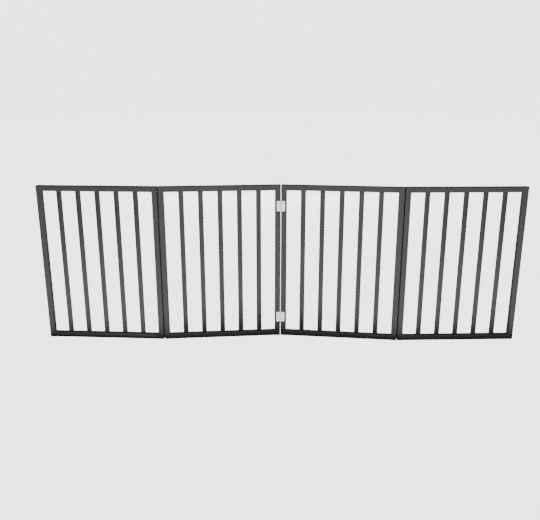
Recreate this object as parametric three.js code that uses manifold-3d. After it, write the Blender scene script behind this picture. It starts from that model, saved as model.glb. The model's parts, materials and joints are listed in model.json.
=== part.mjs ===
// Folding freestanding pet gate: four slatted wooden panels, hinged edge to edge so that they
// stand in a zig-zag and fold flat on each other like an accordion.
// Millimetres, +Z up, +X along the gate to the right, -Y towards the front.
// The origin is on the floor, in the middle of the gate's bounding box.

import * as THREE from "three";
import { mergeVertices } from "three/addons/utils/BufferGeometryUtils.js";
import Module from "manifold-3d";

// ---------- Driving dimensions ----------

// Panels.
const PANEL_WIDTH = 459.4;
const PANEL_HEIGHT = 609.6;
const FRAME_DEPTH = 21;
const STILE_WIDTH = 20.6;
const RAIL_HEIGHT = 20.6;
const SLAT_COUNT = 5;
const SLAT_WIDTH = 19;
const SLAT_DEPTH = 6.5;
const FRAME_EDGE_RADIUS = 2; // eased long edges of stiles and rails
const SLAT_EDGE_RADIUS = 1.5; // eased long edges of slats

// Joinery: stub tenons on the rails, and slat ends housed in blind mortises.
const TENON_LENGTH = 10;
const TENON_THICKNESS = 7; // front to back
const TENON_SHOULDER = 4; // above and below the tenon
const SLAT_HOUSING = 9; // how far a slat's end goes into its rail
const JOINT_CLEARANCE = 0.3; // between any two pieces of wood that meet

// Hinges.
const HINGE_GAP = 0.5; // between the edges of two panels that lie in line
const LEAF_HEIGHT = 39;
const LEAF_REACH = 15.5; // from the pin's axis to the leaf's outer edge
const LEAF_THICKNESS = 1.6;
const LEAF_CORNER_RADIUS = 1.5;
const SEAT_GAP = 0.2; // between a leaf and the stile that it is screwed to
const PIN_DIAMETER = 3;
const PIN_CLEARANCE = 0.1; // between the pin and the bore of a knuckle, all round
const PIN_END = 0.8; // how far the pin stands out of the barrel at each end
const PIN_CHAMFER = 0.4;
const KNUCKLE_COUNT = 5;
const KNUCKLE_GAP = 0.3; // between neighbouring knuckles, and between a knuckle and the other leaf
const SCREW_HOLE_DIAMETER = 3.2;
const COUNTERSINK_DIAMETER = 6;
const SCREW_OFFSET = 9.7; // from the pin's axis to a screw
const SCREW_END_DISTANCE = 8; // from the leaf's end to a screw
const HINGE_INSET = 61; // from the top or the bottom of the gate to the nearer hinge

// Standing pose: how far each joint is folded away from a straight line, in degrees.
const CENTRE_FOLD = 12;
const END_FOLD = 8.5;

// Facets of round shapes.
const EASED_EDGE_SEGMENTS = 2; // round a quarter turn
const BARREL_SEGMENTS = 16; // round a knuckle, and round its bore
const PIN_SEGMENTS = 16;
const HOLE_SEGMENTS = 10;

// ---------- Sizes worked out from them ----------

const BARREL_RADIUS = PIN_DIAMETER / 2 + LEAF_THICKNESS;
const AXIS_STANDOFF = BARREL_RADIUS + SEAT_GAP; // from a stile's face to the pin's axis
const PANEL_PITCH = PANEL_WIDTH + HINGE_GAP; // from one hinge axis to the next
const CLEAR_HEIGHT = PANEL_HEIGHT - 2 * RAIL_HEIGHT; // between the rails
const CLEAR_WIDTH = PANEL_WIDTH - 2 * STILE_WIDTH; // between the stiles
const SLAT_SPACE = (CLEAR_WIDTH - SLAT_COUNT * SLAT_WIDTH) / (SLAT_COUNT + 1);
const RAIL_LENGTH = CLEAR_WIDTH - 2 * JOINT_CLEARANCE; // between its shoulders
const KNUCKLE_PITCH = (LEAF_HEIGHT + KNUCKLE_GAP) / KNUCKLE_COUNT;
const HINGE_HEIGHTS = {
  upper: PANEL_HEIGHT - HINGE_INSET - LEAF_HEIGHT / 2,
  lower: HINGE_INSET + LEAF_HEIGHT / 2,
};
const OVERCUT = 1; // how far a cutter runs past the face that it opens

// ---------- Joining and cutting solids ----------

const wasm = await Module();
wasm.setup();

function toSolid(geometry) {
  const bare = geometry.clone();
  bare.deleteAttribute("normal");
  bare.deleteAttribute("uv");
  const merged = mergeVertices(bare, 1e-4);
  const vertProperties = new Float32Array(merged.attributes.position.array);
  const triVerts = new Uint32Array(merged.index.array);
  return new wasm.Manifold(new wasm.Mesh({ numProp: 3, vertProperties, triVerts }));
}

function toGeometry(solid) {
  const { vertProperties, triVerts } = solid.getMesh();
  const geometry = new THREE.BufferGeometry();
  geometry.setAttribute("position", new THREE.BufferAttribute(vertProperties, 3));
  geometry.setIndex(new THREE.BufferAttribute(triVerts, 1));
  geometry.computeVertexNormals();
  return geometry;
}

// ---------- Materials ----------

function paintedWood() {
  return new THREE.MeshStandardMaterial({ color: 0x34353a, roughness: 0.5, metalness: 0 });
}

function platedSteel() {
  return new THREE.MeshStandardMaterial({ color: 0xc9ccd0, roughness: 0.35, metalness: 0.9 });
}

function namedMesh(name, geometry, material) {
  const mesh = new THREE.Mesh(geometry, material);
  mesh.name = name;
  return mesh;
}

// ---------- Wood ----------

// A box whose lowest corner is at (x, y, z).
function block(x, y, z, width, depth, height) {
  const geometry = new THREE.BoxGeometry(width, depth, height);
  return geometry.translate(x + width / 2, y + depth / 2, z + height / 2);
}

// A rectangle with rounded corners, its lowest corner at the origin.
function easedSection(width, depth, radius) {
  const shape = new THREE.Shape();
  shape.moveTo(radius, 0);
  shape.lineTo(width - radius, 0);
  shape.absarc(width - radius, radius, radius, -Math.PI / 2, 0);
  shape.lineTo(width, depth - radius);
  shape.absarc(width - radius, depth - radius, radius, 0, Math.PI / 2);
  shape.lineTo(radius, depth);
  shape.absarc(radius, depth - radius, radius, Math.PI / 2, Math.PI);
  shape.lineTo(0, radius);
  shape.absarc(radius, radius, radius, Math.PI, Math.PI * 1.5);
  return shape;
}

// ExtrudeGeometry cuts each arc of a shape into twice its curveSegments.
function extruded(shape, depth, arcSegments) {
  const options = { depth, curveSegments: arcSegments / 2, bevelEnabled: false };
  return new THREE.ExtrudeGeometry(shape, options);
}

// An upright bar with eased long edges, its lowest corner at the origin.
function uprightBar(width, depth, length, radius) {
  return extruded(easedSection(width, depth, radius), length, EASED_EDGE_SEGMENTS);
}

// A level bar along X with eased long edges, its lowest corner at the origin.
function levelBar(height, depth, length, radius) {
  const geometry = uprightBar(height, depth, length, radius);
  return geometry.rotateY(Math.PI / 2).translate(0, 0, height);
}

// Where each rail's tenon runs: its lowest Z and its height.
function tenonSpans() {
  const height = RAIL_HEIGHT - 2 * TENON_SHOULDER;
  const lower = TENON_SHOULDER;
  const upper = PANEL_HEIGHT - RAIL_HEIGHT + TENON_SHOULDER;
  return [lower, upper].map((z) => ({ z, height }));
}

// A stile with a blind mortise for each rail. Its inner side, where the mortises open, is its
// right side (openSide 1) or its left side (openSide -1).
function stileGeometry(openSide) {
  const bar = uprightBar(STILE_WIDTH, FRAME_DEPTH, PANEL_HEIGHT, FRAME_EDGE_RADIUS);
  const depth = TENON_THICKNESS + 2 * JOINT_CLEARANCE;
  const reach = TENON_LENGTH + JOINT_CLEARANCE; // leaves the tenon's end its clearance
  const x = openSide > 0 ? STILE_WIDTH - reach : -OVERCUT;
  const y = (FRAME_DEPTH - depth) / 2;
  let solid = toSolid(bar);
  for (const span of tenonSpans()) {
    const z = span.z - JOINT_CLEARANCE;
    const height = span.height + 2 * JOINT_CLEARANCE;
    solid = solid.subtract(toSolid(block(x, y, z, reach + OVERCUT, depth, height)));
  }
  return toGeometry(solid);
}

// The left edge of slat number index (from 0), measured from the panel's left edge.
function slatLeft(index) {
  return STILE_WIDTH + SLAT_SPACE + index * (SLAT_WIDTH + SLAT_SPACE);
}

// A rail with a stub tenon at each end and a blind mortise for each slat. The mortises open
// upwards (openSide 1) on the bottom rail and downwards (openSide -1) on the top rail.
function railGeometry(openSide) {
  const bar = levelBar(RAIL_HEIGHT, FRAME_DEPTH, RAIL_LENGTH, FRAME_EDGE_RADIUS);
  const tenonHeight = RAIL_HEIGHT - 2 * TENON_SHOULDER;
  const tenonFront = (FRAME_DEPTH - TENON_THICKNESS) / 2;
  // A tenon crosses the clearance at its shoulder before it enters the stile.
  const reach = TENON_LENGTH + JOINT_CLEARANCE;
  const span = RAIL_LENGTH + 2 * reach;
  const tenons = block(-reach, tenonFront, TENON_SHOULDER, span, TENON_THICKNESS, tenonHeight);
  let solid = toSolid(bar).add(toSolid(tenons));
  const width = SLAT_WIDTH + 2 * JOINT_CLEARANCE;
  const depth = SLAT_DEPTH + 2 * JOINT_CLEARANCE;
  const height = SLAT_HOUSING + JOINT_CLEARANCE;
  const y = (FRAME_DEPTH - depth) / 2;
  const z = openSide > 0 ? RAIL_HEIGHT - height : -OVERCUT;
  for (let index = 0; index < SLAT_COUNT; index += 1) {
    const x = slatLeft(index) - STILE_WIDTH - 2 * JOINT_CLEARANCE;
    solid = solid.subtract(toSolid(block(x, y, z, width, depth, height + OVERCUT)));
  }
  return toGeometry(solid);
}

function slatGeometry() {
  const length = CLEAR_HEIGHT + 2 * SLAT_HOUSING;
  return uprightBar(SLAT_WIDTH, SLAT_DEPTH, length, SLAT_EDGE_RADIUS);
}

// One panel's nine pieces of wood. (left, front) is the panel's lowest corner in its group.
function addPanelWood(group, panel, left, front) {
  const place = (name, geometry, x, y, z) => {
    const mesh = namedMesh(`${panel}_${name}`, geometry, paintedWood());
    mesh.position.set(left + x, front + y, z);
    group.add(mesh);
  };
  const railLeft = STILE_WIDTH + JOINT_CLEARANCE;
  place("left_stile", stileGeometry(1), 0, 0, 0);
  place("right_stile", stileGeometry(-1), PANEL_WIDTH - STILE_WIDTH, 0, 0);
  place("bottom_rail", railGeometry(1), railLeft, 0, 0);
  place("top_rail", railGeometry(-1), railLeft, 0, PANEL_HEIGHT - RAIL_HEIGHT);
  const slatFront = (FRAME_DEPTH - SLAT_DEPTH) / 2;
  for (let index = 0; index < SLAT_COUNT; index += 1) {
    place(`slat_${index + 1}`, slatGeometry(), slatLeft(index), slatFront, RAIL_HEIGHT - SLAT_HOUSING);
  }
}

// ---------- Hinges ----------

// Level section through a knuckle and the strip that joins it to its leaf. The pin's axis is at
// the origin, the leaf runs to +X, and its back lies in the plane Y = BARREL_RADIUS.
function knuckleSection() {
  const leafFront = BARREL_RADIUS - LEAF_THICKNESS;
  const meetAngle = Math.asin(leafFront / BARREL_RADIUS);
  const stripEnd = BARREL_RADIUS + 2 * KNUCKLE_GAP;
  const shape = new THREE.Shape();
  shape.moveTo(stripEnd, BARREL_RADIUS);
  shape.lineTo(0, BARREL_RADIUS);
  shape.absarc(0, 0, BARREL_RADIUS, Math.PI / 2, 2 * Math.PI + meetAngle);
  shape.lineTo(stripEnd, leafFront);
  const bore = new THREE.Path();
  bore.absarc(0, 0, PIN_DIAMETER / 2 + PIN_CLEARANCE, 0, 2 * Math.PI, true);
  shape.holes.push(bore);
  return shape;
}

// The leaf's plate, seen square on: X from beside the barrel to the outer edge, Z as its height.
function plateSection() {
  const inner = BARREL_RADIUS + KNUCKLE_GAP;
  const half = LEAF_HEIGHT / 2;
  const radius = LEAF_CORNER_RADIUS;
  const shape = new THREE.Shape();
  shape.moveTo(inner, -half);
  shape.lineTo(LEAF_REACH - radius, -half);
  shape.absarc(LEAF_REACH - radius, radius - half, radius, -Math.PI / 2, 0);
  shape.lineTo(LEAF_REACH, half - radius);
  shape.absarc(LEAF_REACH - radius, half - radius, radius, 0, Math.PI / 2);
  shape.lineTo(inner, half);
  return shape;
}

// A countersunk screw hole through the plate, wide at the plate's front.
function screwHoleSolid(z) {
  const straight = new THREE.CylinderGeometry(
    SCREW_HOLE_DIAMETER / 2,
    SCREW_HOLE_DIAMETER / 2,
    LEAF_THICKNESS + 2 * OVERCUT,
    HOLE_SEGMENTS,
  );
  straight.translate(SCREW_OFFSET, BARREL_RADIUS - LEAF_THICKNESS / 2, z);
  const coneDepth = (COUNTERSINK_DIAMETER - SCREW_HOLE_DIAMETER) / 2;
  const mouth = BARREL_RADIUS - LEAF_THICKNESS;
  // The cone runs on past the plate's front at the same slope.
  const cone = new THREE.CylinderGeometry(
    SCREW_HOLE_DIAMETER / 2,
    COUNTERSINK_DIAMETER / 2 + OVERCUT,
    coneDepth + OVERCUT,
    HOLE_SEGMENTS,
  );
  cone.translate(SCREW_OFFSET, mouth + (coneDepth - OVERCUT) / 2, z);
  return toSolid(straight).add(toSolid(cone));
}

// A leaf that carries every second knuckle: numbers 0, 2, 4... (first 0) or 1, 3... (first 1).
// It is the right-hand leaf of a hinge seen from its barrel side, centred on the hinge's height.
function leafGeometry(first) {
  const plate = extruded(plateSection(), LEAF_THICKNESS, EASED_EDGE_SEGMENTS);
  plate.rotateX(Math.PI / 2).translate(0, BARREL_RADIUS, 0);
  let solid = toSolid(plate);
  const knuckleHeight = KNUCKLE_PITCH - KNUCKLE_GAP;
  for (let index = first; index < KNUCKLE_COUNT; index += 2) {
    const knuckle = extruded(knuckleSection(), knuckleHeight, BARREL_SEGMENTS);
    knuckle.translate(0, 0, -LEAF_HEIGHT / 2 + index * KNUCKLE_PITCH);
    solid = solid.add(toSolid(knuckle));
  }
  const screwHeight = LEAF_HEIGHT / 2 - SCREW_END_DISTANCE;
  for (const z of [-screwHeight, screwHeight]) {
    solid = solid.subtract(screwHoleSolid(z));
  }
  return toGeometry(solid);
}

// The pin, upright and centred on the hinge's height.
function pinGeometry() {
  const half = LEAF_HEIGHT / 2 + PIN_END;
  const radius = PIN_DIAMETER / 2;
  const profile = [
    new THREE.Vector2(0, -half),
    new THREE.Vector2(radius - PIN_CHAMFER, -half),
    new THREE.Vector2(radius, PIN_CHAMFER - half),
    new THREE.Vector2(radius, half - PIN_CHAMFER),
    new THREE.Vector2(radius - PIN_CHAMFER, half),
    new THREE.Vector2(0, half),
  ];
  return new THREE.LatheGeometry(profile, PIN_SEGMENTS).rotateX(Math.PI / 2);
}

// How a leaf is turned about the pin's axis for each side of the joint and each face of the gate.
const LEAF_TURNS = {
  front: { right: new THREE.Euler(0, 0, 0), left: new THREE.Euler(0, Math.PI, 0) },
  back: { right: new THREE.Euler(Math.PI, 0, 0), left: new THREE.Euler(0, 0, Math.PI) },
};

// One joint's two hinges. Holder and swinger say for the panel on either side of the joint: its
// group, which side of the joint it is on, and where the joint's axis is in that group. The holder
// carries the pins and the leaves with the outer knuckles, and the swinger the other leaves.
function addHinges(joint, face, holder, swinger) {
  const place = (owner, name, geometry, turn, z) => {
    const mesh = namedMesh(name, geometry, platedSteel());
    mesh.rotation.copy(turn);
    mesh.position.set(owner.axis.x, owner.axis.y, z);
    owner.group.add(mesh);
  };
  const turns = LEAF_TURNS[face];
  for (const [level, z] of Object.entries(HINGE_HEIGHTS)) {
    const hinge = `${joint}_${level}_hinge`;
    place(holder, `${hinge}_${holder.side}_leaf`, leafGeometry(0), turns[holder.side], z);
    place(holder, `${hinge}_pin`, pinGeometry(), turns.right, z);
    place(swinger, `${hinge}_${swinger.side}_leaf`, leafGeometry(1), turns[swinger.side], z);
  }
}

// ---------- Assembly ----------

const degrees = THREE.MathUtils.degToRad;

// The inner panels turn about the centre joint's axis, whose hinges are on the gate's front.
const ownAxis = new THREE.Vector2(0, 0);
const innerFront = AXIS_STANDOFF;
const panel2 = new THREE.Group();
panel2.rotation.z = degrees(CENTRE_FOLD / 2);
addPanelWood(panel2, "panel_2", -HINGE_GAP / 2 - PANEL_WIDTH, innerFront);

const panel3 = new THREE.Group();
panel3.rotation.z = degrees(-CENTRE_FOLD / 2);
addPanelWood(panel3, "panel_3", HINGE_GAP / 2, innerFront);

// The end panels turn about axes behind the inner panels' backs, whose hinges are on the back.
const endAxisDepth = 2 * AXIS_STANDOFF + FRAME_DEPTH;
const leftAxis = new THREE.Vector2(-PANEL_PITCH, endAxisDepth);
const rightAxis = new THREE.Vector2(PANEL_PITCH, endAxisDepth);
const outerFront = -AXIS_STANDOFF - FRAME_DEPTH;

const panel1 = new THREE.Group();
panel1.position.set(leftAxis.x, leftAxis.y, 0);
panel1.rotation.z = degrees(-END_FOLD);
addPanelWood(panel1, "panel_1", -HINGE_GAP / 2 - PANEL_WIDTH, outerFront);
panel2.add(panel1);

const panel4 = new THREE.Group();
panel4.position.set(rightAxis.x, rightAxis.y, 0);
panel4.rotation.z = degrees(END_FOLD);
addPanelWood(panel4, "panel_4", HINGE_GAP / 2, outerFront);
panel3.add(panel4);

addHinges(
  "centre",
  "front",
  { group: panel2, side: "left", axis: ownAxis },
  { group: panel3, side: "right", axis: ownAxis },
);
addHinges(
  "left",
  "back",
  { group: panel2, side: "right", axis: leftAxis },
  { group: panel1, side: "left", axis: ownAxis },
);
addHinges(
  "right",
  "back",
  { group: panel3, side: "left", axis: rightAxis },
  { group: panel4, side: "right", axis: ownAxis },
);

const gate = new THREE.Group();
gate.add(panel2, panel3);

// Move the gate so that its bounding box is centred on the origin from front to back.
const bounds = new THREE.Box3().setFromObject(gate, true);
const middle = bounds.getCenter(new THREE.Vector3());
gate.position.set(-middle.x, -middle.y, 0);

export default gate;
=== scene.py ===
"""A folding pet gate: four painted wooden panels and their plated hinges, on a pale studio floor.

Each kind of piece is modelled once at the bench, then copied to every place that the CAD frame
gives it, where it rides on the CAD body of its panel. Lengths are metres.
"""

import json
import math
import random

import bmesh
import bpy
from mathutils import Matrix, Vector


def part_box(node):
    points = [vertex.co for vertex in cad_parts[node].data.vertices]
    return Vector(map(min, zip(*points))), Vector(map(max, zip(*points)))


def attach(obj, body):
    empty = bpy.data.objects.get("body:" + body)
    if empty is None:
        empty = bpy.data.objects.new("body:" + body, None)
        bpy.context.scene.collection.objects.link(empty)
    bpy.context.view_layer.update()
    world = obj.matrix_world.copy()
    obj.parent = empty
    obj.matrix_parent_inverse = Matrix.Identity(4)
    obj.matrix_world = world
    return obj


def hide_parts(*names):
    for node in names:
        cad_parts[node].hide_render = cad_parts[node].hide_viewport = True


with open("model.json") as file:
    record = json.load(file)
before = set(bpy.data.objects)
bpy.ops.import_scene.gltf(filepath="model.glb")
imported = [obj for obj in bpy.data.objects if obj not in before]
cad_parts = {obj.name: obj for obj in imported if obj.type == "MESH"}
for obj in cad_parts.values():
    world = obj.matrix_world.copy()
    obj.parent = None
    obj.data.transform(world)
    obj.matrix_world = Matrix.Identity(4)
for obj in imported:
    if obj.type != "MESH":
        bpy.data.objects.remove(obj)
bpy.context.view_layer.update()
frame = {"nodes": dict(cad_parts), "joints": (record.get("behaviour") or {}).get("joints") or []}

# ---------- Sizes that the frame's boxes don't give ----------

MM = 0.001
TENON_LENGTH = 10 * MM
TENON_THICKNESS = 7 * MM
TENON_SHOULDER = 4 * MM
SLAT_HOUSING = 9 * MM
GLUE_LINE = 0.05 * MM  # the play that is left round a tenon or a slat's end
FRAME_EDGE_RADIUS = 2 * MM
FRAME_EDGE_SEGMENTS = 5
SLAT_EDGE_RADIUS = 1.5 * MM
SLAT_EDGE_SEGMENTS = 4
SAWN_END_EASE = 0.5 * MM  # how much the sanded rim of a sawn end is broken
SAWN_END_SEGMENTS = 2

LEAF_HEIGHT = 39 * MM
LEAF_REACH = 15.5 * MM
LEAF_THICKNESS = 1.6 * MM
LEAF_CORNER_RADIUS = 2 * MM
LEAF_CORNER_SEGMENTS = 6
STAMPED_EDGE_EASE = 0.2 * MM
EASED_EDGE_SEGMENTS = 2
PIN_RADIUS = 1.5 * MM
PIN_END = 0.8 * MM  # how far the pin stands out of its knuckles at each end
PIN_DOME_RADIUS = 0.9 * PIN_END
PIN_DOME_SEGMENTS = 5
KNUCKLE_COUNT = 5
KNUCKLE_GAP = 0.3 * MM
BORE_PLAY = 0.04 * MM  # between the pin and the knuckles that are rolled round it
BARREL_RADIUS = PIN_RADIUS + LEAF_THICKNESS
KNUCKLE_CURL = math.radians(300)  # how far a knuckle is rolled round the pin
KNUCKLE_STEPS = 30
SCREW_OFFSET = 9.7 * MM
SCREW_END_DISTANCE = 8 * MM
SCREW_HEAD_RADIUS = 2.75 * MM
SCREW_HEAD_RIM = 0.25 * MM
SCREW_SHANK_RADIUS = 1.35 * MM
SCREW_LENGTH = 12 * MM
SCREW_POINT = 4 * MM
SCREW_TIP = 0.12  # the width of the very tip, as a share of the shank's
SCREW_EDGE_EASE = 0.06 * MM
COUNTERSINK_RADIUS = 3 * MM
SCREW_HOLE_RADIUS = 1.6 * MM
ROUND_SIDES = 32  # on pins, screws and screw holes

TOUCHING = 1e-6  # points closer than this are one point
FACING = 0.9  # a face looks along an axis where its normal reaches this far along it

X, Y, Z = 0, 1, 2
SLAT_NUMBERS = (1, 2, 3, 4, 5)
PANELS = (1, 2, 3, 4)
PATTERN_PANEL = 2  # the panel whose boards give the patterns their sizes
WOOD_SEED = 24
SCREW_SEED = 7

FLOOR_RADIUS = 14
FLOOR_GLOW = 3.4
CARD_LIFT = 5 * MM  # how high the bright cards lie over the floor

# Which panel holds the pins and the outer knuckles at each joint, which panel swings, which side
# of the pin each one's leaf lies on, and which face of the gate the hinges are on.
JOINTS = {
    "centre": {"holder": (2, "left"), "swinger": (3, "right"), "face": "front"},
    "left": {"holder": (2, "right"), "swinger": (1, "left"), "face": "back"},
    "right": {"holder": (3, "left"), "swinger": (4, "right"), "face": "back"},
}
LEVELS = ("upper", "lower")

# ---------- Bench work: small helpers round the mesh operators ----------


def put_down_everything():
    """Nothing is selected and no mesh is being edited."""
    if bpy.context.object and bpy.context.object.mode != "OBJECT":
        bpy.ops.object.mode_set(mode="OBJECT")
    bpy.ops.object.select_all(action="DESELECT")


def take_up(piece):
    """Only this piece is selected, and it is the one that operators work on."""
    put_down_everything()
    piece.select_set(True)
    bpy.context.view_layer.objects.active = piece


def open_for_editing(piece):
    take_up(piece)
    bpy.ops.object.mode_set(mode="EDIT")


def start_block(name, low, high):
    """A block between two corners, as an object at the origin, open for editing."""
    put_down_everything()
    low, high = Vector(low), Vector(high)
    bpy.ops.mesh.primitive_cube_add(size=1, location=(low + high) / 2, scale=high - low)
    piece = bpy.context.active_object
    piece.name = name
    bpy.ops.object.transform_apply(location=True, rotation=True, scale=True)
    open_for_editing(piece)
    return piece


def start_rod(name, radius, low, high):
    """An upright rod on the Z axis, as an object at the origin, open for editing."""
    put_down_everything()
    bpy.ops.mesh.primitive_cylinder_add(
        vertices=ROUND_SIDES, radius=radius, depth=high - low, location=(0, 0, (low + high) / 2)
    )
    piece = bpy.context.active_object
    piece.name = name
    bpy.ops.object.transform_apply(location=True, rotation=True, scale=True)
    open_for_editing(piece)
    return piece


def cut_across(point, normal):
    """Splits the whole mesh along a plane, and keeps both sides."""
    bpy.ops.mesh.select_all(action="SELECT")
    bpy.ops.mesh.bisect(plane_co=point, plane_no=normal, use_fill=False)


def pick_faces(piece, wanted):
    """Selects the faces for which wanted(centre, normal) holds."""
    bpy.ops.mesh.select_mode(type="FACE")
    bpy.ops.mesh.select_all(action="DESELECT")
    mesh = bmesh.from_edit_mesh(piece.data)
    mesh.normal_update()
    for face in mesh.faces:
        face.select_set(wanted(face.calc_center_median(), face.normal))
    bmesh.update_edit_mesh(piece.data)


def pick_edges(piece, wanted):
    """Selects the edges for which wanted(one end, other end, faces beside it) holds."""
    bpy.ops.mesh.select_mode(type="EDGE")
    bpy.ops.mesh.select_all(action="DESELECT")
    mesh = bmesh.from_edit_mesh(piece.data)
    mesh.normal_update()
    for edge in mesh.edges:
        a, b = (v.co for v in edge.verts)
        edge.select_set(wanted(a, b, edge.link_faces))
    bmesh.update_edit_mesh(piece.data)


def near(a, b):
    return abs(a - b) < TOUCHING


def push(vector):
    """Extrudes the selected faces by a vector."""
    bpy.ops.mesh.extrude_region_move(TRANSFORM_OT_translate={"value": vector})


def round_off(radius, segments):
    """Rounds the selected edges."""
    bpy.ops.mesh.bevel(offset=radius, segments=segments, affect="EDGES", profile=0.5)


def finish_mesh(smooth_angle=40):
    """Closes the piece that is open for editing, with its doubles merged, its faces outwards, and
    its shading smooth where faces meet at less than an angle in degrees."""
    bpy.ops.mesh.select_mode(type="VERT")
    bpy.ops.mesh.select_all(action="SELECT")
    bpy.ops.mesh.remove_doubles(threshold=TOUCHING)
    bpy.ops.mesh.normals_make_consistent(inside=False)
    bpy.ops.object.mode_set(mode="OBJECT")
    bpy.ops.object.shade_smooth_by_angle(angle=math.radians(smooth_angle))
    put_down_everything()


def cut_out(piece, cutter):
    """Cuts another object out of the piece, and throws the cutter away."""
    take_up(piece)
    cut = piece.modifiers.new("cut", "BOOLEAN")
    cut.operation = "DIFFERENCE"
    cut.solver = "EXACT"
    cut.object = cutter
    bpy.ops.object.modifier_apply(modifier=cut.name)
    bpy.data.objects.remove(cutter)


def ease_all_edges(piece, width, angle=35):
    """Breaks every edge sharper than an angle in degrees a little, as stamping or tumbling does."""
    take_up(piece)
    ease = piece.modifiers.new("ease", "BEVEL")
    ease.width = width
    ease.segments = EASED_EDGE_SEGMENTS
    ease.limit_method = "ANGLE"
    ease.angle_limit = math.radians(angle)
    bpy.ops.object.modifier_apply(modifier=ease.name)


# ---------- Where the frame puts things ----------


def middle(node):
    low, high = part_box(node)
    return (low + high) / 2


def panel_turn(panel):
    """How far a panel stands turned about the vertical, from its two stiles."""
    across = middle(f"panel_{panel}_right_stile") - middle(f"panel_{panel}_left_stile")
    return math.atan2(across.y, across.x)


def panel_box(panel, part):
    """The lowest and highest corner of a node in its panel's own directions."""
    unturn = Matrix.Rotation(-TURN[panel], 3, "Z")
    points = [unturn @ v.co for v in frame["nodes"][f"panel_{panel}_{part}"].data.vertices]
    low = Vector(min(p[axis] for p in points) for axis in (X, Y, Z))
    high = Vector(max(p[axis] for p in points) for axis in (X, Y, Z))
    return low, high


TURN = {panel: panel_turn(panel) for panel in PANELS}
JOINT_AT = {joint["name"]: Vector(joint["pos_m"]) for joint in frame["joints"]}

# ---------- Wood ----------


def mark_board(board, across, depth, along):
    """Writes where each point lies in its board: across, front to back, and along the grain."""
    points = board.data.vertices
    axes = (across, depth, along)
    centres, halves = [], []
    for axis in axes:
        values = [point.co[axis] for point in points]
        centres.append((min(values) + max(values)) / 2)
        halves.append((max(values) - min(values)) / 2)
    place = board.data.attributes.new("board_place", "FLOAT_VECTOR", "POINT")
    half = board.data.attributes.new("board_half", "FLOAT_VECTOR", "POINT")
    for index, point in enumerate(points):
        place.data[index].vector = [point.co[axis] - centre for axis, centre in zip(axes, centres)]
        half.data[index].vector = halves


def ease_long_edges(board, along, half, radius, segments):
    """Rounds the four long edges. half gives the half-sizes of the other two axes, by axis."""

    def on_corner(point):
        return all(near(abs(point[axis]), size) for axis, size in half.items())

    def is_long(a, b, _):
        return on_corner(a) and on_corner(b) and not near(a[along], b[along])

    pick_edges(board, is_long)
    round_off(radius, segments)


def break_end_rims(board, along, ends, ease):
    """Eases the rim of each sawn end. ends are their places along the board."""

    def is_rim(a, b, faces):
        at_end = any(near(a[along], end) and near(b[along], end) for end in ends)
        square = [abs(face.normal[along]) > FACING for face in faces]
        return at_end and any(square) and not all(square)

    pick_edges(board, is_rim)
    round_off(ease, SAWN_END_SEGMENTS)


def make_stile(size, rail_height):
    """A stile stood on its end at the origin, with its mortises open towards +X."""
    width, depth, height = size
    low_corner, high_corner = (-width / 2, -depth / 2, 0), (width / 2, depth / 2, height)
    stile = start_block("stile_pattern", low_corner, high_corner)
    half_slot = TENON_THICKNESS / 2 + GLUE_LINE
    low = TENON_SHOULDER - GLUE_LINE
    high = rail_height - TENON_SHOULDER + GLUE_LINE
    for y in (-half_slot, half_slot):
        cut_across((0, y, 0), (0, 1, 0))
    for z in (low, high, height - high, height - low):
        cut_across((0, 0, z), (0, 0, 1))

    def in_mortise(centre, normal):
        level = min(centre.z, height - centre.z)
        return normal.x > FACING and abs(centre.y) < half_slot and low < level < high

    pick_faces(stile, in_mortise)
    push((-TENON_LENGTH - GLUE_LINE, 0, 0))
    half_sizes = {X: width / 2, Y: depth / 2}
    ease_long_edges(stile, Z, half_sizes, FRAME_EDGE_RADIUS, FRAME_EDGE_SEGMENTS)
    break_end_rims(stile, Z, (0, height), SAWN_END_EASE)
    finish_mesh()
    mark_board(stile, across=X, depth=Y, along=Z)
    return stile


def make_rail(size, slat_places, slat_size):
    """A rail along X, centred on the origin, with its slat mortises open upwards. Its length is
    measured between the shoulders. The tenons' hidden tips are left square."""
    _, depth, height = size
    half = Vector(size) / 2
    rail = start_block("rail_pattern", -half, half)
    half_tenon_y, half_tenon_z = TENON_THICKNESS / 2, height / 2 - TENON_SHOULDER
    half_slot_x, half_slot_y = slat_size.x / 2 + GLUE_LINE, slat_size.y / 2 + GLUE_LINE
    for y in (half_tenon_y, half_slot_y):
        cut_across((0, y, 0), (0, 1, 0))
        cut_across((0, -y, 0), (0, 1, 0))
    for z in (-half_tenon_z, half_tenon_z):
        cut_across((0, 0, z), (0, 0, 1))
    for place in slat_places:
        cut_across((place - half_slot_x, 0, 0), (1, 0, 0))
        cut_across((place + half_slot_x, 0, 0), (1, 0, 0))

    def in_slot(centre, normal):
        beside = min(abs(centre.x - place) for place in slat_places)
        return normal.z > FACING and abs(centre.y) < half_slot_y and beside < half_slot_x

    pick_faces(rail, in_slot)
    push((0, 0, -SLAT_HOUSING - GLUE_LINE))
    for side in (-1, 1):

        def on_tenon(centre, normal, side=side):
            inside = abs(centre.y) < half_tenon_y and abs(centre.z) < half_tenon_z
            return normal.x * side > FACING and inside

        pick_faces(rail, on_tenon)
        push((side * TENON_LENGTH, 0, 0))
    half_sizes = {Y: depth / 2, Z: height / 2}
    ease_long_edges(rail, X, half_sizes, FRAME_EDGE_RADIUS, FRAME_EDGE_SEGMENTS)
    finish_mesh()
    mark_board(rail, across=Z, depth=Y, along=X)
    return rail


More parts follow.
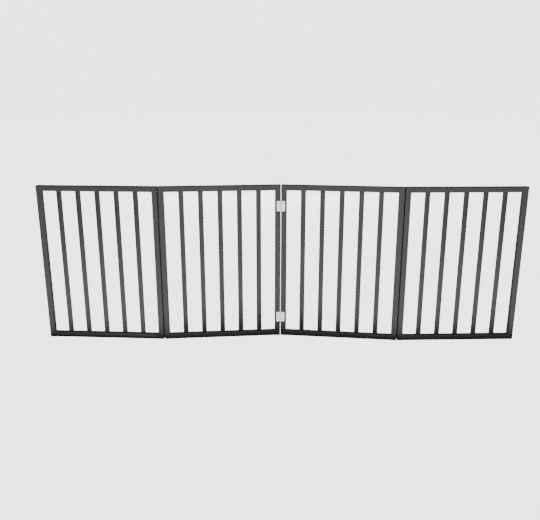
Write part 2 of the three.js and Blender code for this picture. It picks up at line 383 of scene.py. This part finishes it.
def make_slat(size):
    """A slat centred on the origin, upright."""
    half = size / 2
    slat = start_block("slat_pattern", -half, half)
    ease_long_edges(slat, Z, {X: half.x, Y: half.y}, SLAT_EDGE_RADIUS, SLAT_EDGE_SEGMENTS)
    break_end_rims(slat, Z, (-half.z, half.z), SAWN_END_EASE)
    finish_mesh()
    mark_board(slat, across=X, depth=Y, along=Z)
    return slat


# ---------- Hinges and screws ----------


def make_leaf(name, first):
    """The right-hand leaf of a hinge seen from its barrel side: the pin's axis is the Z axis and
    the leaf's back lies at Y = BARREL_RADIUS. It carries every second knuckle from number first."""
    bottom = -LEAF_HEIGHT / 2
    inner = BARREL_RADIUS + KNUCKLE_GAP
    front = BARREL_RADIUS - LEAF_THICKNESS
    pitch = (LEAF_HEIGHT + KNUCKLE_GAP) / KNUCKLE_COUNT
    leaf = start_block(name, (inner, front, bottom), (LEAF_REACH, BARREL_RADIUS, -bottom))
    spans = []
    for number in range(first, KNUCKLE_COUNT, 2):
        low = bottom + number * pitch
        spans.append((low, low + pitch - KNUCKLE_GAP))
    for z in {z for span in spans for z in span if abs(z) < LEAF_HEIGHT / 2 - TOUCHING}:
        cut_across((0, 0, z), (0, 0, 1))

    def on_own_knuckle(centre, normal):
        return normal.x < -FACING and any(low < centre.z < high for low, high in spans)

    pick_faces(leaf, on_own_knuckle)
    push((-inner, 0, 0))
    bpy.ops.mesh.spin(
        steps=KNUCKLE_STEPS, angle=-KNUCKLE_CURL, center=(0, 0, 0), axis=(0, 0, 1)
    )

    def is_outer_corner(a, b, _):
        at_corner = near(a.x, LEAF_REACH) and near(b.x, LEAF_REACH)
        return at_corner and near(a.z, b.z) and near(abs(a.z), LEAF_HEIGHT / 2)

    pick_edges(leaf, is_outer_corner)
    round_off(LEAF_CORNER_RADIUS, LEAF_CORNER_SEGMENTS)
    finish_mesh()
    for z in (-screw_height(), screw_height()):
        cut_out(leaf, make_hole_cutter(z))
    ease_all_edges(leaf, STAMPED_EDGE_EASE)
    open_for_editing(leaf)
    finish_mesh(smooth_angle=30)
    return leaf


def screw_height():
    """How far a screw is above or below the middle of its leaf."""
    return LEAF_HEIGHT / 2 - SCREW_END_DISTANCE


def make_hole_cutter(z):
    """A countersunk drill along Y, wide at the leaf's front."""
    front = BARREL_RADIUS - LEAF_THICKNESS
    spare = 1 * MM  # how far the drill reaches past both faces of the leaf
    cutter = start_rod("drill", SCREW_HOLE_RADIUS, 0, LEAF_THICKNESS + spare)
    cone_depth = COUNTERSINK_RADIUS - SCREW_HOLE_RADIUS
    cut_across((0, 0, cone_depth), (0, 0, 1))
    pick_faces(cutter, lambda centre, normal: normal.z < -FACING)
    bpy.ops.transform.resize(value=[COUNTERSINK_RADIUS / SCREW_HOLE_RADIUS] * 3)
    push((0, 0, -spare))
    finish_mesh()
    turn = Matrix.Translation((SCREW_OFFSET, front, z)) @ Matrix.Rotation(-math.pi / 2, 4, "X")
    cutter.data.transform(turn)
    return cutter


def make_pin():
    """The pin, centred on the origin, with its ends riveted over into low domes."""
    half = LEAF_HEIGHT / 2 + PIN_END
    pin = start_rod("pin_pattern", PIN_RADIUS - BORE_PLAY, -half, half)
    for z in (-half, half):
        pick_edges(pin, lambda a, b, _, z=z: near(a.z, z) and near(b.z, z))
        round_off(PIN_DOME_RADIUS, PIN_DOME_SEGMENTS)
    finish_mesh(smooth_angle=50)
    return pin


def make_screw():
    """A countersunk wood screw pointing along +Y, with the top of its head at Y = 0."""
    screw = start_rod("screw_pattern", SCREW_HEAD_RADIUS, 0, SCREW_HEAD_RIM)
    head_cone = (SCREW_HEAD_RADIUS - SCREW_SHANK_RADIUS, SCREW_SHANK_RADIUS / SCREW_HEAD_RADIUS)
    shank = (SCREW_LENGTH - SCREW_POINT - SCREW_HEAD_RADIUS, 1)
    point = (SCREW_POINT, SCREW_TIP)
    for distance, narrowing in (head_cone, shank, point):
        pick_faces(screw, lambda centre, normal: normal.z > FACING)
        push((0, 0, distance))
        bpy.ops.transform.resize(value=(narrowing, narrowing, 1))
    finish_mesh()
    for angle in (0, math.pi / 2):
        cut_out(screw, make_recess_cutter(angle))
    ease_all_edges(screw, SCREW_EDGE_EASE, angle=50)
    screw.data.transform(Matrix.Rotation(-math.pi / 2, 4, "X"))
    open_for_editing(screw)
    finish_mesh(smooth_angle=35)
    return screw


def make_recess_cutter(angle):
    """One blade of the cross recess: wide at the top of the head and narrow at its bottom."""
    half_length, half_thickness, depth = 1.6 * MM, 0.42 * MM, 1.3 * MM
    spare = 1 * MM  # how far it stands out of the head
    narrowing = (0.25, 0.7, 1)
    low = (-half_length, -half_thickness, -spare)
    cutter = start_block("blade", low, (half_length, half_thickness, depth))
    pick_faces(cutter, lambda centre, normal: normal.z > FACING)
    bpy.ops.transform.resize(value=narrowing)
    finish_mesh()
    cutter.data.transform(Matrix.Rotation(angle, 4, "Z"))
    return cutter


# ---------- Shader groups ----------


def new_group(name, inputs, outputs):
    """An empty shader group. Inputs are (name, type, default), outputs are (name, type)."""
    tree = bpy.data.node_groups.new(name, "ShaderNodeTree")
    for socket, kind, default in inputs:
        made = tree.interface.new_socket(socket, in_out="INPUT", socket_type=f"NodeSocket{kind}")
        if default is not None:
            made.default_value = default
    for socket, kind in outputs:
        tree.interface.new_socket(socket, in_out="OUTPUT", socket_type=f"NodeSocket{kind}")
    given = tree.nodes.new("NodeGroupInput").outputs
    result = tree.nodes.new("NodeGroupOutput").inputs
    return tree, given, result


def feed(tree, socket, value):
    """Connects a socket to another node's output, or sets it to a value."""
    if isinstance(value, bpy.types.NodeSocket):
        tree.links.new(value, socket)
    else:
        socket.default_value = value


def calculate(tree, operation, *values):
    """A Math node on numbers or other nodes' outputs."""
    node = tree.nodes.new("ShaderNodeMath")
    node.operation = operation
    for socket, value in zip(node.inputs, values):
        feed(tree, socket, value)
    return node.outputs[0]


def calculate_vector(tree, operation, *values):
    """A Vector Math node on vectors or other nodes' outputs."""
    node = tree.nodes.new("ShaderNodeVectorMath")
    node.operation = operation
    for socket, value in zip(node.inputs, values):
        feed(tree, socket, value)
    return node.outputs[0]


def add_shares(tree, first, first_share, second, second_share):
    """The sum of two values, each times its own share."""
    rest = calculate(tree, "MULTIPLY", second, second_share)
    return calculate(tree, "MULTIPLY_ADD", first, first_share, rest)


def split(tree, vector):
    node = tree.nodes.new("ShaderNodeSeparateXYZ")
    feed(tree, node.inputs[0], vector)
    return node.outputs


def noise(tree, vector, scale, detail=2.0, roughness=0.5):
    node = tree.nodes.new("ShaderNodeTexNoise")
    feed(tree, node.inputs["Vector"], vector)
    feed(tree, node.inputs["Scale"], scale)
    node.inputs["Detail"].default_value = detail
    node.inputs["Roughness"].default_value = roughness
    return node.outputs["Fac"]


def stretch(tree, value, low, high, to_low=0.0, to_high=1.0):
    """Stretches a value from one range to another, and stops at the ends."""
    node = tree.nodes.new("ShaderNodeMapRange")
    for socket, number in zip(node.inputs, (value, low, high, to_low, to_high)):
        feed(tree, socket, number)
    return node.outputs["Result"]


def mix_colours(tree, factor, first, second):
    """The first colour where the factor is 0 and the second where it is 1."""
    node = tree.nodes.new("ShaderNodeMix")
    node.data_type = "RGBA"
    colours = [socket for socket in node.inputs if socket.type == "RGBA"]
    feed(tree, node.inputs[0], factor)
    feed(tree, colours[0], first)
    feed(tree, colours[1], second)
    return next(socket for socket in node.outputs if socket.type == "RGBA")


def add_group(tree, group, values):
    node = tree.nodes.new("ShaderNodeGroup")
    node.node_tree = group
    for name, value in values.items():
        feed(tree, node.inputs[name], value)
    return node.outputs


def attribute(tree, name):
    node = tree.nodes.new("ShaderNodeAttribute")
    node.attribute_name = name
    return node.outputs["Vector"]


def make_long_grain_group():
    """Wood grain: fine fibres and wider growth bands, drawn out along Z, the length of a board."""
    tree, given, result = new_group(
        "long_grain",
        [("Place", "Vector", None), ("Fibre Scale", "Float", 1.0), ("Band Scale", "Float", 1.0)],
        [("Height", "Float"), ("Bands", "Float")],
    )
    waver = noise(tree, given["Place"], scale=7.0, detail=1.0)
    waver_width = 12 * MM
    bend = calculate(tree, "MULTIPLY", waver, waver_width)
    bent = calculate_vector(tree, "ADD", given["Place"], bend)
    lengthwise = (1.0, 1.0, 0.03)
    drawn_out = calculate_vector(tree, "MULTIPLY", bent, lengthwise)
    fibres = noise(tree, drawn_out, given["Fibre Scale"], detail=3.0, roughness=0.6)
    bands = noise(tree, drawn_out, given["Band Scale"])
    feed(tree, result["Height"], add_shares(tree, fibres, 0.5, bands, 0.5))
    feed(tree, result["Bands"], bands)
    return tree


def make_edge_group():
    """A mask of the strip beside a board's edges, broken up unevenly."""
    tree, given, result = new_group(
        "edge_strip",
        [
            ("Place", "Vector", None),
            ("Half", "Vector", None),
            ("Width", "Float", 0.002),
            ("Unevenness", "Float", 0.5),
        ],
        [("Mask", "Float")],
    )
    inwards = calculate_vector(
        tree, "SUBTRACT", given["Half"], calculate_vector(tree, "ABSOLUTE", given["Place"])
    )
    x, y, z = split(tree, inwards)
    # On a box's surface the smallest of the three distances is nil, and the middle one is the
    # distance to the nearest edge.
    smaller = calculate(tree, "MINIMUM", x, y)
    larger = calculate(tree, "MAXIMUM", x, y)
    to_edge = calculate(tree, "MAXIMUM", smaller, calculate(tree, "MINIMUM", larger, z))
    patches = noise(tree, given["Place"], scale=60.0, detail=3.0, roughness=0.65)
    mean_patch = 0.5
    off_mean = calculate(tree, "SUBTRACT", patches, mean_patch)
    shift = calculate(tree, "MULTIPLY", off_mean, given["Unevenness"])
    widths_in = calculate(tree, "DIVIDE", to_edge, given["Width"])
    near_edge = calculate(tree, "SUBTRACT", 1.0, widths_in)
    mask = stretch(tree, calculate(tree, "ADD", near_edge, shift), low=0.0, high=1.0)
    feed(tree, result["Mask"], mask)
    return tree


def make_scratch_group():
    """Fine brushing along one direction, with a few longer scratches across it."""
    tree, given, result = new_group(
        "fine_scratches",
        [("Place", "Vector", None), ("Brushing", "Float", 4000.0), ("Scratches", "Float", 900.0)],
        [("Height", "Float"), ("Wear", "Float")],
    )
    along, across = (1.0, 1.0, 0.04), (0.12, 0.12, 1.0)
    lengthwise = calculate_vector(tree, "MULTIPLY", given["Place"], along)
    crosswise = calculate_vector(tree, "MULTIPLY", given["Place"], across)
    brushing = noise(tree, lengthwise, given["Brushing"])
    streaks = noise(tree, crosswise, given["Scratches"], detail=1.0)
    scratches = stretch(tree, streaks, low=0.66, high=0.72)
    feed(tree, result["Height"], calculate(tree, "SUBTRACT", brushing, scratches))
    feed(tree, result["Wear"], scratches)
    return tree


# ---------- Materials ----------


def grey(value):
    return (value, value, value, 1)


def new_material(name):
    material = bpy.data.materials.new(name)
    material.use_nodes = True
    tree = material.node_tree
    return material, tree, tree.nodes["Principled BSDF"]


def add_bump(tree, shader, height, depth, strength):
    node = tree.nodes.new("ShaderNodeBump")
    node.inputs["Strength"].default_value = strength
    node.inputs["Distance"].default_value = depth
    feed(tree, node.inputs["Height"], height)
    feed(tree, shader.inputs["Normal"], node.outputs["Normal"])


def make_paint(groups):
    """Satin charcoal paint, with the grain of the wood showing through and edges rubbed thin."""
    material, tree, shader = new_material("satin_charcoal_paint")
    place = attribute(tree, "board_place")
    own_place = calculate_vector(tree, "ADD", place, attribute(tree, "board_seed"))
    fine_grain = {"Place": own_place, "Fibre Scale": 1500.0, "Band Scale": 320.0}
    grain = add_group(tree, groups["grain"], fine_grain)
    half = attribute(tree, "board_half")
    rubbed_strip = {"Place": place, "Half": half, "Width": 2.2 * MM, "Unevenness": 1.1}
    edge = add_group(tree, groups["edge"], rubbed_strip)["Mask"]
    skin = noise(tree, own_place, scale=1300.0)
    clouds = noise(tree, own_place, scale=14.0, detail=3.0)

    dark = (0.0285, 0.0285, 0.029, 1)
    light = (0.0405, 0.0405, 0.0415, 1)
    rubbed = (0.085, 0.082, 0.08, 1)
    tone = add_shares(tree, grain["Bands"], 0.6, clouds, 0.4)
    coat = mix_colours(tree, stretch(tree, tone, low=0.35, high=0.65), dark, light)
    rubbed_share = 0.35
    worn = mix_colours(tree, calculate(tree, "MULTIPLY", edge, rubbed_share), coat, rubbed)
    feed(tree, shader.inputs["Base Color"], worn)

    least_roughness = 0.34
    uneven = add_shares(tree, skin, 0.10, clouds, 0.12)
    feed(tree, shader.inputs["Roughness"], calculate(tree, "ADD", uneven, least_roughness))
    relief = add_shares(tree, grain["Height"], 0.65, skin, 0.35)
    add_bump(tree, shader, relief, depth=0.18 * MM, strength=0.45)
    return material


def make_plated_steel(groups, name, bright, dull, least_roughness, brushing):
    """Zinc-plated steel: bright, finely brushed, dulled in patches."""
    material, tree, shader = new_material(name)
    coordinates = tree.nodes.new("ShaderNodeTexCoord").outputs["Object"]
    brushed = {"Place": coordinates, "Brushing": brushing, "Scratches": 700.0}
    marks = add_group(tree, groups["scratch"], brushed)
    patches = noise(tree, coordinates, scale=180.0, detail=3.0, roughness=0.6)
    colour = mix_colours(tree, stretch(tree, patches, low=0.35, high=0.7), bright, dull)
    feed(tree, shader.inputs["Base Color"], colour)
    shader.inputs["Metallic"].default_value = 1.0
    uneven = add_shares(tree, patches, 0.16, marks["Wear"], 0.1)
    feed(tree, shader.inputs["Roughness"], calculate(tree, "ADD", uneven, least_roughness))
    add_bump(tree, shader, marks["Height"], depth=0.03 * MM, strength=0.35)
    return material


def make_floor_material():
    """A pale studio floor. Its paleness is a glow that only the camera sees, and the floor itself
    is dark, so it throws little light back at the gate and the sides of the bars stay dark."""
    material, tree, shader = new_material("pale_floor")
    coordinates = tree.nodes.new("ShaderNodeTexCoord").outputs["Object"]
    mottle = noise(tree, coordinates, scale=3.0, detail=4.0)
    feed(tree, shader.inputs["Base Color"], mix_colours(tree, mottle, grey(0.05), grey(0.07)))
    feed(tree, shader.inputs["Emission Color"], mix_colours(tree, mottle, grey(0.96), grey(1)))
    shader.inputs["Roughness"].default_value = 0.8
    shader.inputs["Specular IOR Level"].default_value = 0.1
    seen = tree.nodes.new("ShaderNodeLightPath").outputs["Is Camera Ray"]
    feed(tree, shader.inputs["Emission Strength"], calculate(tree, "MULTIPLY", seen, FLOOR_GLOW))
    return material


# ---------- Setting out ----------


def set_out(pattern, name, matrix, material, body, stands_for=()):
    """A copy of a pattern with its own mesh, moved to its place, on its CAD body."""
    piece = bpy.data.objects.new(name, pattern.data.copy())
    piece.data.name = name
    bpy.context.scene.collection.objects.link(piece)
    piece.data.transform(matrix)
    piece.data.materials.clear()
    piece.data.materials.append(material)
    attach(piece, body)
    if stands_for:
        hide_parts(*stands_for)
    return piece


def give_seed(board, dice):
    """Each board is cut from its own part of a tree, so its grain starts somewhere else."""
    seed = board.data.attributes.new("board_seed", "FLOAT_VECTOR", "POINT")
    farthest = 5  # metres into the grain pattern
    value = [dice.uniform(-farthest, farthest) for _ in range(3)]
    for index in range(len(board.data.vertices)):
        seed.data[index].vector = value


def make_wood(paint):
    """All boards of all panels."""
    dice = random.Random(WOOD_SEED)
    stile_low, stile_high = panel_box(PATTERN_PANEL, "left_stile")
    far_low, _ = panel_box(PATTERN_PANEL, "right_stile")
    rail_low, rail_high = panel_box(PATTERN_PANEL, "bottom_rail")
    slat_boxes = [panel_box(PATTERN_PANEL, f"slat_{number}") for number in SLAT_NUMBERS]
    slat_size = slat_boxes[0][1] - slat_boxes[0][0]
    rail_length = far_low.x - stile_high.x
    rail_middle = (far_low.x + stile_high.x) / 2
    rail_size = (rail_length, rail_high.y - rail_low.y, rail_high.z - rail_low.z)
    slat_places = [(low.x + high.x) / 2 - rail_middle for low, high in slat_boxes]
    stile = make_stile(stile_high - stile_low, rail_size[Z])
    rail = make_rail(rail_size, slat_places, slat_size)
    slat = make_slat(slat_size)
    stile_turns = {"left_stile": 0, "right_stile": math.pi}  # so that the mortises face inwards
    rail_turns = {"bottom_rail": 0, "top_rail": math.pi}
    for panel in PANELS:
        turn = Matrix.Rotation(TURN[panel], 4, "Z")

        def place(pattern, part, own_turn, on_end=False, panel=panel, turn=turn):
            low, high = panel_box(panel, part)
            centre = (low + high) / 2
            if on_end:
                centre.z = low.z
            node, body = f"panel_{panel}_{part}", f"panel_{panel}"
            matrix = turn @ Matrix.Translation(centre) @ own_turn
            board = set_out(pattern, f"{node}_board", matrix, paint, body, (node,))
            give_seed(board, dice)

        for part, angle in stile_turns.items():
            place(stile, part, Matrix.Rotation(angle, 4, "Z"), on_end=True)
        for part, angle in rail_turns.items():
            place(rail, part, Matrix.Rotation(angle, 4, "X"))
        for number in SLAT_NUMBERS:
            place(slat, f"slat_{number}", Matrix.Identity(4))
    for pattern in (stile, rail, slat):
        bpy.data.objects.remove(pattern)


# How the leaf pattern is turned for the face of the gate and the side of the pin that it is on.
LEAF_TURNS = {
    ("front", "right"): Matrix.Identity(4),
    ("front", "left"): Matrix.Rotation(math.pi, 4, "Y"),
    ("back", "right"): Matrix.Rotation(math.pi, 4, "X"),
    ("back", "left"): Matrix.Rotation(math.pi, 4, "Z"),
}


def make_hinges(plate_metal, screw_metal):
    """Six hinges, each of two leaves, a pin and four screws."""
    dice = random.Random(SCREW_SEED)
    leaves = {
        "holder": make_leaf("outer_leaf_pattern", first=0),
        "swinger": make_leaf("inner_leaf_pattern", first=1),
    }
    pin = make_pin()
    screw = make_screw()
    front = BARREL_RADIUS - LEAF_THICKNESS

    def hang_leaf(leaf, hinge, panel, side, face, axis):
        """Sets a leaf and its two screws on their panel, round the hinge's axis."""
        node, body = f"{hinge}_{side}_leaf", f"panel_{panel}"
        turn = Matrix.Rotation(TURN[panel], 4, "Z")
        seat = Matrix.Translation(axis) @ turn @ LEAF_TURNS[face, side]
        set_out(leaf, f"{node}_plate", seat, plate_metal, body, (node,))
        for number, z in enumerate((-screw_height(), screw_height()), start=1):
            tightened = Matrix.Rotation(dice.uniform(0, math.pi / 2), 4, "Y")
            drive = Matrix.Translation((SCREW_OFFSET, front, z)) @ tightened
            name = f"{hinge}_{side}_screw_{number}"
            set_out(screw, name, seat @ drive, screw_metal, body)

    for joint, made in JOINTS.items():
        for level in LEVELS:
            hinge = f"{joint}_{level}_hinge"
            axis = JOINT_AT[f"{joint}_fold"].copy()
            node = f"{hinge}_pin"
            axis.z = middle(node).z
            for role, leaf in leaves.items():
                panel, side = made[role]
                hang_leaf(leaf, hinge, panel, side, made["face"], axis)
            body = f"panel_{made['holder'][0]}"
            at_axis = Matrix.Translation(axis)
            set_out(pin, f"{node}_rod", at_axis, plate_metal, body, (node,))
    for pattern in (*leaves.values(), pin, screw):
        bpy.data.objects.remove(pattern)


# ---------- Studio ----------


def make_floor():
    put_down_everything()
    bpy.ops.mesh.primitive_circle_add(
        vertices=96, radius=FLOOR_RADIUS, fill_type="NGON", location=(0, 0, 0)
    )
    floor = bpy.context.active_object
    floor.name = "studio_floor"
    floor.data.materials.append(make_floor_material())


def add_softbox(name, place, aim, size, power, highlights=True):
    """A soft rectangular light. Without highlights it is a plain fill, which nothing mirrors."""
    lamp = bpy.data.lights.new(name, "AREA")
    lamp.shape = "RECTANGLE"
    lamp.size, lamp.size_y = size
    lamp.energy = power
    softbox = bpy.data.objects.new(name, lamp)
    softbox.location = place
    direction = Vector(aim) - Vector(place)
    softbox.rotation_euler = direction.to_track_quat("-Z", "Y").to_euler()
    softbox.visible_camera = False
    softbox.visible_glossy = highlights
    bpy.context.scene.collection.objects.link(softbox)


def add_floor_card(name, start, end, brightness, sides=(-2.2, 2.2)):
    """A bright card that lies on the floor between two distances from the gate, and shines up."""
    left, right = sides
    width, depth = right - left, abs(end - start)
    place = Vector(((left + right) / 2, (start + end) / 2, CARD_LIFT))
    power = brightness * math.pi * width * depth
    add_softbox(name, place, place + Vector((0, 0, 1)), (width, depth), power)


def light_studio():
    """Soft light. Bright cards on the floor before the gate give most of it and a softbox above
    them the rest. Behind the gate a faint card and a fill without highlights show its back."""
    surround, backdrop = 0.12, 3.3  # how bright the world is to the gate, and to the camera
    world = bpy.data.worlds.new("studio")
    world.use_nodes = True
    tree = world.node_tree
    seen = tree.nodes.new("ShaderNodeLightPath").outputs["Is Camera Ray"]
    background = tree.nodes["Background"]
    background.inputs["Color"].default_value = (1, 1, 1, 1)
    feed(tree, background.inputs["Strength"], stretch(tree, seen, 0, 1, surround, backdrop))
    bpy.context.scene.world = world
    add_floor_card("near_card", start=-0.085, end=-2.0, brightness=1.93)
    add_floor_card("left_card", start=-0.05, end=-0.085, brightness=1.5, sides=(-1.2, -0.5))
    add_floor_card("far_card", start=-2.0, end=-3.1, brightness=3.1)
    add_floor_card("back_card", start=0.15, end=3.0, brightness=0.3)
    add_softbox("key_softbox", place=(0.1, -3.2, 1.9), aim=(0, 0, 0.4), size=(2.6, 1.2), power=60)
    add_softbox(
        "back_fill", place=(0, 3.2, 0.45), aim=(0, 0, 0.35), size=(2.4, 0.6), power=200, highlights=False
    )


def place_camera():
    """Stands 2.4 metres before the gate and one metre up, looking a little down."""
    down, left = 16.36, 0.85  # degrees
    data = bpy.data.cameras.new("camera")
    data.lens = 42.6
    data.sensor_width = 36
    camera = bpy.data.objects.new("camera", data)
    camera.location = (-0.006, -2.374, 1.016)
    camera.rotation_euler = (math.radians(90 - down), 0, math.radians(left))
    bpy.context.scene.collection.objects.link(camera)
    bpy.context.scene.camera = camera


place_camera()
GROUPS = {
    "grain": make_long_grain_group(),
    "edge": make_edge_group(),
    "scratch": make_scratch_group(),
}
PLATE_METAL = make_plated_steel(
    GROUPS,
    "zinc_plate",
    bright=grey(0.92),
    dull=(0.80, 0.80, 0.81, 1),
    least_roughness=0.12,
    brushing=3500.0,
)
SCREW_METAL = make_plated_steel(
    GROUPS,
    "screw_zinc",
    bright=grey(0.80),
    dull=(0.62, 0.62, 0.63, 1),
    least_roughness=0.22,
    brushing=5200.0,
)
make_wood(make_paint(GROUPS))
make_hinges(PLATE_METAL, SCREW_METAL)
make_floor()
light_studio()
